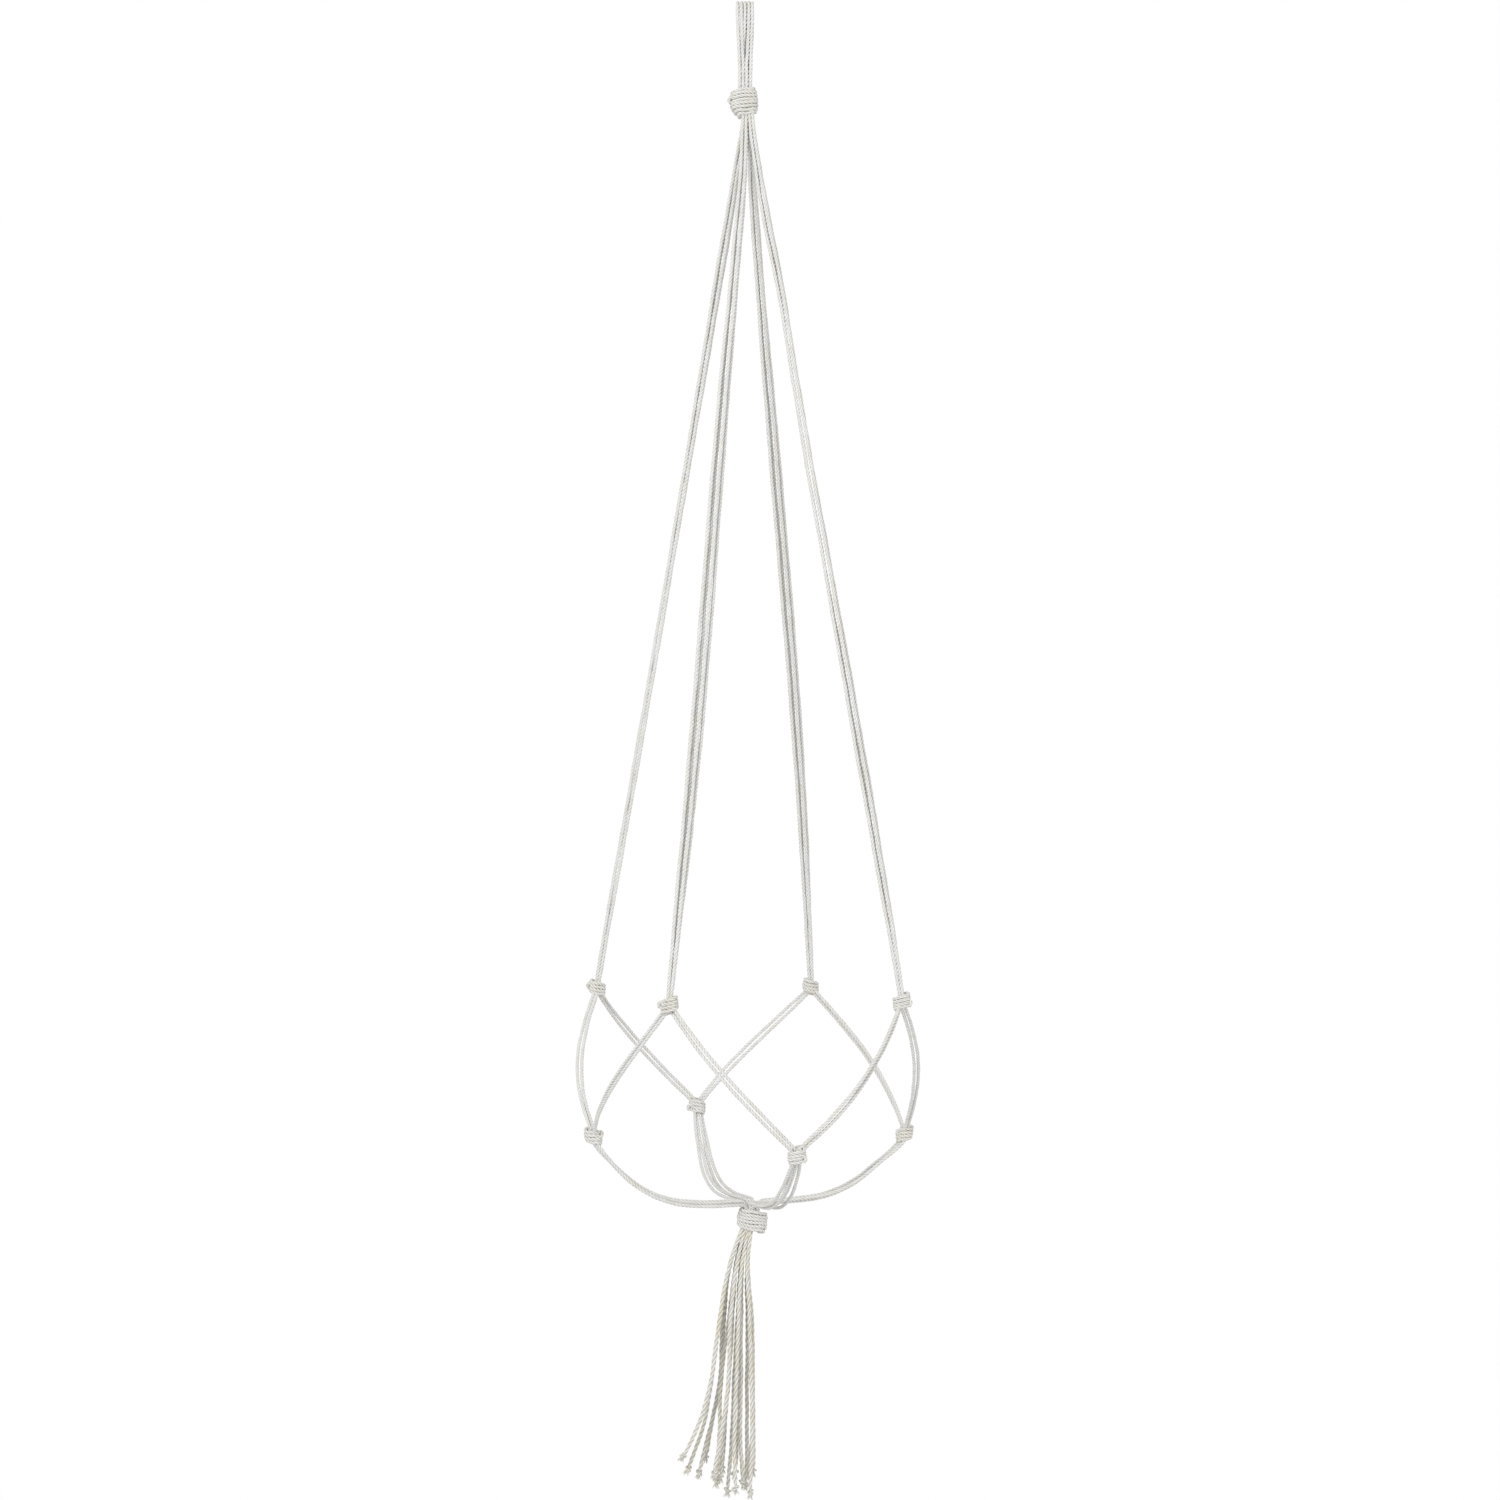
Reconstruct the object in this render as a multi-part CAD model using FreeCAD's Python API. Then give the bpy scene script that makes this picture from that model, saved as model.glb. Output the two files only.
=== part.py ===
"""Hanging macrame planter: eight knotted cotton cords, one net for a pot, one tassel.

Millimetres, +Z up. The origin is the hook seat, the inside of the loop's top. +X is to the right and
-Y is the front. The eight cords are folded in half over the hook, so sixteen strands run down from it.
"""
import FreeCAD, Part
import math
import os

Vector = FreeCAD.Vector

# ---- driving dimensions ----
CORD = 2.5              # diameter of the twisted cotton cord
TAIL_CORD = 2.8         # the same cord where it hangs loose in the tassel and opens a little
PITCH = 2.56            # strand to strand in a gathered bundle, so that neighbours never overlap
HOOK_R = 4.0            # radius of the hook that the loop is sized for
LOOP_LAYERS = ((HOOK_R + CORD / 2, (-2.5, -1.5, -0.5, 0.5, 1.5, 2.5)), (HOOK_R + CORD / 2 + 2.22, (-1, 1)))

LOOP_END_Z = -52.6      # the loop's strands stop here, just above the top knot
TOP_KNOT_X = -1.4
TOP_KNOT_GROOVES = ((6.2, -53.0), (8.4, -56.4), (9.6, -60.2), (10.4, -64.0), (10.6, -68.0), (10.3, -72.0),
                    (8.9, -76.2), (7.0, -80.6))
NECK_X = 0.7            # centre of the bundle below the top knot
NECK_TOP_Z = -83.0      # clear of the top knot through the front-back sway
NECK_END_Z = -93.2
LEG_TOP_Z = -96.6       # clear of the neck through the side sway

# Knots of the net: name, centre, and which way the small loop at its side points
UPPER_KNOTS = {
    "left": ((-106.9, 53.0, -694.0), (-1.0, -0.3)),
    "front": ((-50.2, -105.0, -691.5), (-1.0, 0.1)),
    "right": ((107.2, -53.0, -693.8), (1.0, -0.2)),
    "back": ((48.7, 105.0, -697.5), (-0.4, 1.0)),
}
LOWER_KNOTS = {
    "left": ((-104.7, -35.0, -788.5), (1.0, -0.4)),
    "front": ((34.6, -109.0, -791.0), (0.9, -0.5)),
    "right": ((114.3, 35.0, -796.5), (-0.8, -0.6)),
    "back": ((-35.8, 109.0, -786.5), (-1.0, -0.3)),
}
KNOT_GROOVES = ((3.9, 7.0), (5.6, 3.9), (6.1, 0.4), (5.6, -3.3), (3.8, -6.6))
EAR_R = 2.2             # the small loop of cord that stands out at a knot's side
KNOT_BITE = 1.6         # how far a strand's end stands inside the knot that it is tied in
PAIR_BITE = 2.6         # the same for the net's pairs, which come in at a slant
PAIR_LEAN = 2.75        # how far to its own side of a knot each pair starts and ends

# Legs: bow of the leg's middle line, then the four strands' places about it, at two heights.
# The strands start and end as a block two wide and two deep.
BLOCK = ((-1, -1), (1, -1), (-1, 1), (1, 1))
LEG_STATIONS = (-300.0, -520.0)
LEGS = {
    "left": ((-1, 1), ((0.9, -0.5), (1.3, 0.4)),
             (((-1.5, -1.4), (1.2, -1.6), (-1.3, 1.5), (1.5, 1.3)),
              ((-1.3, -1.7), (1.5, -1.3), (-1.6, 1.3), (1.2, 1.7)))),
    "front": ((-1, -1), ((-0.6, 0.7), (1.0, -0.4)),
              (((-3.4, -1.1), (1.5, -1.9), (-1.4, 1.5), (3.6, 0.8)),
               ((-3.9, -0.9), (1.3, -1.8), (-1.2, 1.6), (4.0, 0.9)))),
    "right": ((1, -1), ((-0.8, -0.5), (0.7, 0.6)),
              (((-1.6, -1.5), (1.3, -1.4), (-2.3, 1.4), (1.6, 1.5)),
               ((-3.4, -1.2), (0.9, -1.7), (-1.4, 1.5), (2.9, 1.1)))),
    "back": ((1, 1), ((0.6, 0.6), (1.9, -0.5)),
             (((-3.7, -0.8), (1.1, -1.7), (-1.6, 1.6), (3.2, 1.0)),
              ((-3.1, -1.3), (1.3, -1.5), (-1.2, 1.7), (3.5, 1.2)))),
}

# Net: each pair runs from an upper knot to a lower one, bowed out round the pot.
# (upper knot, lower knot, radius of the bow, how far apart its two strands are half way)
NET_PAIRS = (
    ("left", "left", 121.5, 3.1), ("front", "left", 121.0, 3.0), ("front", "front", 119.5, 3.4),
    ("right", "front", 120.5, 3.5), ("right", "right", 122.5, 3.0), ("back", "right", 120.0, 3.3),
    ("back", "back", 120.0, 3.6), ("left", "back", 119.0, 3.5),
)
NET_CENTRE = (1.0, 0.0)

# Base: distance from the base's centre and height of each bundle, from its knot to the centre
BASE_CENTRE = (4.9, 0.0)
BASE_START_PITCH = 2.6  # at the knot the four strands lie side by side,
BASE_STAGGER = 0.4      # every other one this far out or in
BASE_PROFILE = ((93.0, -817.5, 2.7), (76.0, -830.0, 3.0), (56.0, -837.6, 3.2), (34.0, -840.0, 3.0), (11.5, -839.7, 2.62))
BASE_KNOT_GROOVES = ((4.6, -843.3), (8.6, -846.2), (10.9, -849.8), (11.6, -853.6), (10.9, -857.4), (8.8, -860.8),
                     (6.4, -864.0))
BASE_KNOT_X = 4.6

# Tassel: sixteen tails, four rows deep. Each has its place at the knot and then four places by hand.
TAIL_X = -1.1
TAIL_PITCH = 2.95
TAIL_TOP_Z = -867.4
TAIL_KNOT_R = 2.3       # the single overhand knot near the end of each tail
TAIL_KNOT_UP = 6.0      # from the frayed tip up to that knot
TAIL_STATIONS = (-886.0, -921.0, -964.0, -1004.0)
TAILS = (
    ((-9.5, -6.0), (-17.6, -7.6), (-21.6, -8.6), (-35.0, -10.5), (-45.6, -12.0, -1019.5)),
    ((-3.8, -6.4), (-10.6, -9.4), (-14.4, -11.2), (-17.2, -12.6), (-22.6, -12.4, -1032.0)),
    ((-0.2, -6.0), (-4.4, -8.2), (-6.4, -9.6), (-7.6, -10.8), (-6.6, -12.4, -1042.7)),
    ((4.0, -5.6), (3.2, -6.4), (4.6, -7.0), (5.0, -8.4), (3.4, -8.0, -1047.0)),
    ((-8.6, -2.0), (-18.0, -2.2), (-23.4, -2.6), (-30.0, -3.6), (-42.0, -4.6, -1030.7)),
    ((-4.4, -2.4), (-9.2, -3.8), (-11.6, -5.2), (-13.2, -6.6), (-17.4, -7.4, -1036.0)),
    ((0.0, -2.2), (-3.0, -3.2), (-2.8, -4.2), (-2.4, -5.4), (-1.2, -6.0, -1040.5)),
    ((4.4, -1.8), (5.2, -1.2), (5.6, -1.4), (6.2, -2.2), (5.6, -1.2, -1033.5)),
    ((-9.0, 1.8), (-16.4, 2.4), (-20.0, 2.8), (-25.4, 2.6), (-33.7, 1.8, -1035.7)),
    ((-4.0, 1.6), (-11.4, 1.8), (-15.0, 0.6), (-18.6, -0.8), (-20.4, -1.8, -1041.0)),
    ((-0.4, 1.8), (-5.6, 2.2), (-7.6, 1.0), (-9.2, 0.2), (-12.6, -0.8, -1047.6)),
    ((4.2, 2.0), (1.6, 2.6), (1.4, 2.6), (1.0, 1.6), (0.2, 0.4, -1043.5)),
    ((-8.8, 5.8), (-14.6, 7.2), (-19.4, 8.2), (-22.2, 8.8), (-28.4, 8.4, -1026.0)),
    ((-3.6, 6.2), (-9.0, 7.6), (-12.4, 7.8), (-14.0, 7.0), (-16.2, 5.6, -1033.0)),
    ((0.2, 6.0), (-2.6, 7.0), (-3.6, 7.4), (-4.8, 7.2), (-7.4, 6.6, -1037.0)),
    ((4.4, 5.6), (4.6, 6.6), (6.0, 6.4), (5.4, 6.2), (2.2, 5.4, -1038.0)),
)

radii_seen = []


def solid_of(shape):
    """Return the one solid of a shape."""
    return shape.Solids[0]


def tube(points, diameter):
    """A cord along the points: straight runs, joined by arcs as large as each pair of runs allows."""
    points = [Vector(*p) for p in points]
    edges = []
    start = points[0]
    length = 0.0
    for before, corner, after in zip(points, points[1:], points[2:]):
        run_in = (corner - before).normalize()
        run_out = (after - corner).normalize()
        half = run_in.getAngle(run_out) / 2
        reach = 0.45 * min((corner - before).Length, (after - corner).Length)
        radius = reach / math.tan(half)
        radii_seen.append(radius)
        first = corner - run_in * reach
        last = corner + run_out * reach
        inward = (run_out - run_in).normalize()
        middle = corner + inward * (radius / math.cos(half) - radius)
        edges.append(Part.LineSegment(start, first).toShape())
        edges.append(Part.Arc(first, middle, last).toShape())
        length += (first - start).Length + 2 * half * radius
        start = last
    edges.append(Part.LineSegment(start, points[-1]).toShape())
    length += (points[-1] - start).Length
    path = Part.Wire(edges)
    section = Part.Wire(Part.Circle(points[0], points[1] - points[0], diameter / 2).toShape())
    solid = solid_of(path.makePipeShell([section], True, False))
    if solid.Volume < 0:
        solid.reverse()
    expected = math.pi * diameter ** 2 / 4 * length
    if abs(solid.Volume / expected - 1) > 0.01 or not solid.isValid():
        raise ValueError(f"a tube's volume is {solid.Volume:.1f}, not {expected:.1f}")
    return solid


def wrapped_solid(x, y, z, grooves):
    """A knot as a turned body: one rounded band of cord between each groove (radius, height) and the next."""
    at = [Vector(x + r, y, z + h) for r, h in grooves]
    edges = [Part.LineSegment(Vector(x, y, at[0].z), at[0]).toShape()]
    for a, b in zip(at, at[1:]):
        outward = Vector(a.z - b.z, 0, b.x - a.x).normalize()
        edges.append(Part.Arc(a, (a + b) / 2 + outward * (CORD * 0.32), b).toShape())
    edges.append(Part.LineSegment(at[-1], Vector(x, y, at[-1].z)).toShape())
    edges.append(Part.LineSegment(Vector(x, y, at[-1].z), Vector(x, y, at[0].z)).toShape())
    face = Part.Face(Part.Wire(edges))
    return solid_of(face.revolve(Vector(x, y, 0), Vector(0, 0, 1), 360))


def small_knot(centre, ear):
    """An overhand knot of four strands, with the small loop that stands out at its side."""
    x, y, z = centre
    body = wrapped_solid(x, y, z, KNOT_GROOVES)
    out = Vector(ear[0], ear[1], 0).normalize() * 5.9
    loop = Part.makeSphere(EAR_R, Vector(x, y, z - 0.6) + out)
    return solid_of(body.fuse(loop).removeSplitter())


def block(centre, scale=1.0):
    """Four places about a centre, two wide and two deep."""
    return [(centre[0] + PITCH / 2 * scale * a, centre[1] + PITCH / 2 * scale * b) for a, b in BLOCK]


def hanging_loop():
    """Eight cords over the hook, coming together as four rows of four below it."""
    strands = []
    for radius, places in LOOP_LAYERS:
        for place in places:
            x = place * 2.56
            outer = abs(place) == 2.5
            top_layer = radius > HOOK_R + CORD
            gathered_x = math.copysign(PITCH * 1.5 if abs(place) > 1 else PITCH / 2, x)
            gathered_y = PITCH * 1.5 if outer or top_layer else PITCH / 2
            waist_x = x * (0.86 if top_layer else 1.0)
            waist_y = radius - (0.25 if outer else 1.4 if top_layer else 3.5)
            down = [(x, radius), (waist_x, waist_y), (gathered_x * 1.02, gathered_y * 1.02)]
            heights = (-radius - 1.5, -23.0, -38.0)
            side = [(a, b, h) for (a, b), h in zip(down, heights)] + [(gathered_x, gathered_y, LOOP_END_Z)]
            strands.append(loop_strand(x, radius, side))
    return Part.makeCompound(strands)


def loop_strand(x, radius, side):
    """One strand: up the front side, over the hook as a half round, and down the back."""
    front = [(a, -b, h) for a, b, h in reversed(side)]
    crown_z = -HOOK_R
    arc_front = Vector(x, -radius, crown_z)
    arc_top = Vector(x, 0, crown_z + radius)
    arc_back = Vector(x, radius, crown_z)
    halves = []
    for points in (front + [tuple(arc_front)], [tuple(arc_back)] + side):
        halves.append(tube(points, CORD))
    over = Part.Wire(Part.Arc(arc_front, arc_top, arc_back).toShape())
    section = Part.Wire(Part.Circle(arc_front, Vector(0, 0, 1), CORD / 2).toShape())
    bend = solid_of(over.makePipeShell([section], True, False))
    return solid_of(halves[0].fuse([bend, halves[1]]).removeSplitter())


def leg_start(side):
    """The four strands of a leg where they come out of the top knot."""
    corner = LEGS[side][0]
    return block((NECK_X + corner[0] * PITCH, corner[1] * PITCH))


def leg_routes(side):
    """The four strands of a leg, from the top knot down into its upper knot."""
    corner, bows, spreads = LEGS[side]
    knot = UPPER_KNOTS[side][0]
    end_z = knot[2] + KNOT_GROOVES[0][1] - KNOT_BITE
    top = (NECK_X + corner[0] * PITCH, corner[1] * PITCH)
    routes = []
    ends = block(knot)
    for i, start in enumerate(leg_start(side)):
        route = [(start[0], start[1], NECK_TOP_Z)]
        for z, bow, spread in zip(LEG_STATIONS, bows, spreads):
            t = (z - NECK_TOP_Z) / (end_z - NECK_TOP_Z)
            middle = [top[k] + (knot[k] - top[k]) * t + bow[k] for k in (0, 1)]
            route.append((middle[0] + spread[i][0], middle[1] + spread[i][1], z))
        routes.append(route + [(ends[i][0], ends[i][1], end_z)])
    return routes


def cut_at(route, z):
    """The point of a route's first run at the height z."""
    a, b = route[0], route[1]
    t = (z - a[2]) / (b[2] - a[2])
    return tuple(a[k] + (b[k] - a[k]) * t for k in range(3))


def gathered_neck():
    """Sixteen strands between the top knot and the place where the four legs part."""
    strands = []
    for side in LEGS:
        for route in leg_routes(side):
            low = Vector(*cut_at(route, NECK_END_Z))
            strands.append(straight(Vector(*route[0]), low))
    return Part.makeCompound(strands)


def straight(start, end):
    """A straight stretch of cord."""
    return Part.makeCylinder(CORD / 2, (end - start).Length, start, end - start)


def leg(side):
    """Four strands, side by side, from the neck into an upper knot."""
    routes = leg_routes(side)
    return Part.makeCompound([tube([cut_at(r, LEG_TOP_Z)] + r[1:], CORD) for r in routes])


def polar(point):
    """Angle and radius of a point about the net's centre."""
    dx, dy = point[0] - NET_CENTRE[0], point[1] - NET_CENTRE[1]
    return math.atan2(dy, dx), math.hypot(dx, dy)


def net_routes(upper, lower, bow, gap):
    """The two strands of a net pair, from the foot of its upper knot to the head of its lower one."""
    top, foot = UPPER_KNOTS[upper][0], LOWER_KNOTS[lower][0]
    a0, r0 = polar(top)
    a1, r1 = polar(foot)
    turn = (a1 - a0 + math.pi) % (2 * math.pi) - math.pi
    lean = math.copysign(PAIR_LEAN, turn)
    a0 += lean / r0
    turn -= lean / r0 + lean / r1
    z0 = top[2] + KNOT_GROOVES[-1][1] + PAIR_BITE
    z1 = foot[2] + KNOT_GROOVES[0][1] - PAIR_BITE
    stations = ((0.0, r0, PITCH), (0.22, r0 * 0.4 + bow * 0.6, gap * 0.95), (0.5, bow, gap),
                (0.78, r1 * 0.4 + bow * 0.6, gap * 0.95), (1.0, r1, PITCH))
    middle = []
    outward = []
    for t, radius, _ in stations:
        out = Vector(math.cos(a0 + turn * t), math.sin(a0 + turn * t), 0)
        centre = Vector(NET_CENTRE[0], NET_CENTRE[1], z0 + (z1 - z0) * t)
        outward.append(out)
        middle.append(centre + out * radius)
    strands = [[], []]
    for i, (_, _, apart) in enumerate(stations):
        along = middle[min(i + 1, 4)] - middle[max(i - 1, 0)]
        across = along.cross(outward[i]).normalize() * (apart / 2)
        strands[0].append(tuple(middle[i] - across))
        strands[1].append(tuple(middle[i] + across))
    return strands


def base_routes(side):
    """Four strands from a lower knot, under the pot, to the middle of the base."""
    knot = LOWER_KNOTS[side][0]
    angle = math.atan2(knot[1] - BASE_CENTRE[1], knot[0] - BASE_CENTRE[0])
    outward = Vector(math.cos(angle), math.sin(angle), 0)
    across = Vector(-outward.y, outward.x, 0)
    centre = Vector(BASE_CENTRE[0], BASE_CENTRE[1], 0)
    start_z = knot[2] + KNOT_GROOVES[-1][1] + KNOT_BITE
    routes = []
    for i, fan in enumerate((-1.5, -0.5, 0.5, 1.5)):
        depth = BASE_STAGGER * (-1) ** i
        start = Vector(knot[0], knot[1], 0) + across * (fan * BASE_START_PITCH) + outward * depth
        route = [(start.x, start.y, start_z)]
        for radius, z, pitch in BASE_PROFILE:
            point = centre + outward * radius + across * (fan * pitch)
            route.append((point.x, point.y, z))
        routes.append(route)
    return routes


def tail_routes():
    """Sixteen tails from the base knot to their frayed tips."""
    routes = []
    for n, places in enumerate(TAILS):
        row, column = divmod(n, 4)
        top = (TAIL_X + (column - 1.5) * TAIL_PITCH, (row - 1.5) * TAIL_PITCH, TAIL_TOP_Z)
        middle = [(x, y, z) for (x, y), z in zip(places[:4], TAIL_STATIONS)]
        routes.append([top] + middle + [places[4]])
    return routes


def tail(route):
    """One loose tail with the overhand knot near its tip."""
    cord = tube(route, TAIL_CORD)
    tip, above = Vector(*route[-1]), Vector(*route[-2])
    knot = Part.makeSphere(TAIL_KNOT_R, tip + (above - tip).normalize() * TAIL_KNOT_UP)
    return solid_of(cord.fuse(knot).removeSplitter())


def all_nodes():
    """Every sub-part by its name."""
    nodes = {
        "hanging_loop": hanging_loop(),
        "top_knot": wrapped_solid(TOP_KNOT_X, 0, 0, TOP_KNOT_GROOVES),
        "gathered_neck": gathered_neck(),
    }
    for side in LEGS:
        nodes[f"{side}_leg"] = leg(side)
    for side, (centre, ear) in UPPER_KNOTS.items():
        nodes[f"upper_knot_{side}"] = small_knot(centre, ear)
    for upper, lower, bow, gap in NET_PAIRS:
        routes = net_routes(upper, lower, bow, gap)
        nodes[f"net_pair_{upper}_{lower}"] = Part.makeCompound([tube(r, CORD) for r in routes])
    for side, (centre, ear) in LOWER_KNOTS.items():
        nodes[f"lower_knot_{side}"] = small_knot(centre, ear)
    for side in LOWER_KNOTS:
        nodes[f"base_cords_{side}"] = Part.makeCompound([tube(r, CORD) for r in base_routes(side)])
    nodes["base_knot"] = wrapped_solid(BASE_KNOT_X, 0, 0, BASE_KNOT_GROOVES)
    for n, route in enumerate(tail_routes(), 1):
        nodes[f"tail_{n:02d}"] = tail(route)
    return nodes


def main():
    os.makedirs("parts", exist_ok=True)
    nodes = all_nodes()
    for name, shape in nodes.items():
        shape.exportStep(f"parts/{name}.step")
    box = Part.makeCompound(list(nodes.values())).BoundBox
    print(f"{len(nodes)} nodes, {sum(len(s.Solids) for s in nodes.values())} solids")
    print(f"size {box.XLength:.1f} x {box.YLength:.1f} x {box.ZLength:.1f} mm, "
          f"z from {box.ZMin:.1f} to {box.ZMax:.1f}")
    print(f"cord radii from {min(radii_seen):.1f} to {max(radii_seen):.0f} mm")


main()
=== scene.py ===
# %% [markdown]
# A macrame planter is eight cotton cords and nothing else. They hang folded over a hook, so sixteen strands
# run down from it: through one big knot, out as four legs, through two tiers of small knots that make an open
# net for a pot, and together again under the pot into a last knot and a tassel. Everything here is therefore
# one thing done well many times: a strand of twisted cord that follows a route, and a knot tied from strands.

# %% Load the frame
import bmesh
import bpy
import math
import numpy as np
from mathutils import Matrix, Vector


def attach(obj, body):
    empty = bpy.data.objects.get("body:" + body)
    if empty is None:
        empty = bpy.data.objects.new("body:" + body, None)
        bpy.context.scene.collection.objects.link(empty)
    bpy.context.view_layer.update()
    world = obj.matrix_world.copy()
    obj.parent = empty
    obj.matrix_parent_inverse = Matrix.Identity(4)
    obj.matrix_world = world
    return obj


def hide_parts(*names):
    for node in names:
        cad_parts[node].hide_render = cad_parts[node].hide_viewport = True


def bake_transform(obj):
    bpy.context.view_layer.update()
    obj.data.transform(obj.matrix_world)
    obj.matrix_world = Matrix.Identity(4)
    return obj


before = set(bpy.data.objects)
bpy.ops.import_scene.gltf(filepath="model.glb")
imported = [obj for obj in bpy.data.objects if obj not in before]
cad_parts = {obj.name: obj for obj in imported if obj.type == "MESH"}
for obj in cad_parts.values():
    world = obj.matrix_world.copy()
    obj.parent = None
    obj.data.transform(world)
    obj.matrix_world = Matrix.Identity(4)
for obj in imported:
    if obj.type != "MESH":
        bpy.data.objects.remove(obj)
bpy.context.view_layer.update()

# %% [markdown]
# The camera stands level with the middle of the hanger, two metres away, so the front knots look a little
# lower than the back ones. The hanger fills the height of the frame.

# %% Camera
FOCAL_PX, FRAME_PX, SENSOR_MM = 2700.0, 1500.0, 36.0
MM_PER_PX = 0.7035
DISTANCE = FOCAL_PX * MM_PER_PX / 1000
camera_data = bpy.data.cameras.new("camera")
camera_data.sensor_width = SENSOR_MM
camera_data.lens = FOCAL_PX / FRAME_PX * SENSOR_MM
camera = bpy.data.objects.new("camera", camera_data)
camera.location = (0.0035, -DISTANCE, -0.5218)
camera.rotation_euler = (math.pi / 2, 0, 0)
bpy.context.collection.objects.link(camera)
bpy.context.scene.camera = camera
print("camera lens", round(camera_data.lens, 1), "mm at", round(DISTANCE, 3), "m")

# %% [markdown]
# Sizes in metres. The cord is 2.5 mm of three-ply cotton and a strand in a bundle lies just over one
# diameter from the next. In the tassel the cord hangs loose, opens up and is a little thicker.

# %% Sizes
CORD = 0.0025
TAIL_CORD = 0.0028
PITCH = 0.00256
TWIST_LENGTH = 0.0085       # one full turn of the three plies
TAIL_TWIST_LENGTH = 0.0140  # the loose tails have untwisted a little
RING_STEP = 0.00075         # distance from one ring of a strand's mesh to the next
DRIFT, PAIR_DRIFT, TAIL_DRIFT = 0.00022, 0.0002, 0.00035    # how far strands stray from their routes
rng = np.random.default_rng(11)

# %% [markdown]
# A route is a short list of points that a cord is led past. A NURBS curve of order three through that list is
# smooth like real cord, so the strand's centreline is read from such a curve, then spaced evenly.

# %% Routes
def smooth_line(points, step=RING_STEP):
    """Evenly spaced points along the NURBS curve that has the route's points as control points."""
    curve = bpy.data.curves.new("route", "CURVE")
    curve.dimensions = "3D"
    spline = curve.splines.new("NURBS")
    spline.points.add(len(points) - 1)
    for place, p in zip(spline.points, points):
        place.co = (*p, 1)
    spline.order_u = 3
    spline.use_endpoint_u = True
    spline.resolution_u = 24
    holder = bpy.data.objects.new("route", curve)
    bpy.context.collection.objects.link(holder)
    mesh = bpy.data.meshes.new_from_object(holder)
    line = np.array([v.co for v in mesh.vertices])
    bpy.data.objects.remove(holder)
    bpy.data.curves.remove(curve)
    bpy.data.meshes.remove(mesh)
    return evenly(line, step)


def evenly(line, step=RING_STEP):
    """The same line with its points a step apart."""
    gaps = np.linalg.norm(np.diff(line, axis=0), axis=1)
    line = line[np.r_[True, gaps > 1e-9]]
    along = np.r_[0, np.cumsum(np.linalg.norm(np.diff(line, axis=0), axis=1))]
    places = np.linspace(0, along[-1], max(3, int(round(along[-1] / step)) + 1))
    return np.stack([np.interp(places, along, line[:, k]) for k in range(3)], axis=1)


def length_of(line):
    return float(np.linalg.norm(np.diff(line, axis=0), axis=1).sum())


def wander(line, amount):
    """The line, drifting aside by up to the amount as real cord does, and not at its ends."""
    along = np.r_[0, np.cumsum(np.linalg.norm(np.diff(line, axis=0), axis=1))]
    ease = np.clip(np.minimum(along, along[-1] - along) / 0.02, 0, 1)[:, None]
    drift = np.zeros_like(line)
    for wave, share in ((0.09, 0.55), (0.034, 0.3), (0.015, 0.15)):
        turn = rng.uniform(0, 2 * math.pi, 3)
        drift += share * np.sin(along[:, None] / wave * 2 * math.pi + turn)
    return line + amount * ease * drift

# %% [markdown]
# The strand itself is three plies laid up in a twist. Blender's curves make this without any vertex being
# placed by hand: the curve is given a cross-section with three shallow lobes, and each of its points is
# tilted a little further than the last, so the lobes wind round it. Closing the ends leaves doubled points,
# which are merged. The curve also gives a UV map, along and across the strand; the two are swapped, and the
# one along it is scaled so that one unit is one turn of the twist.

# %% Twisted strands
SIDES = 12                  # points round a strand, four to each ply
LOBE = 0.27                 # how deep the grooves between the plies are, of the radius
LOOSE_LOBE = 0.40           # the same where the twist is loose


def cross_section(name, sides, lobe):
    """A closed outline one unit in radius, with three lobes, for curves to carry."""
    outline = bpy.data.curves.new(name, "CURVE")
    outline.dimensions = "2D"
    spline = outline.splines.new("POLY")
    spline.points.add(sides - 1)
    for i, point in enumerate(spline.points):
        angle = -i / sides * 2 * math.pi
        reach = 1 - lobe + lobe * abs(math.cos(1.5 * angle))
        point.co = (reach * math.cos(angle), reach * math.sin(angle), 0, 1)
    spline.use_cyclic_u = True
    section = bpy.data.objects.new(name, outline)
    bpy.context.collection.objects.link(section)
    return section


THREE_PLY = cross_section("three_ply_section", SIDES, LOBE)
LOOSE_PLY = cross_section("loose_ply_section", SIDES, LOOSE_LOBE)
FIBRE = cross_section("fibre_section", 4, 0.0)


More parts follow.
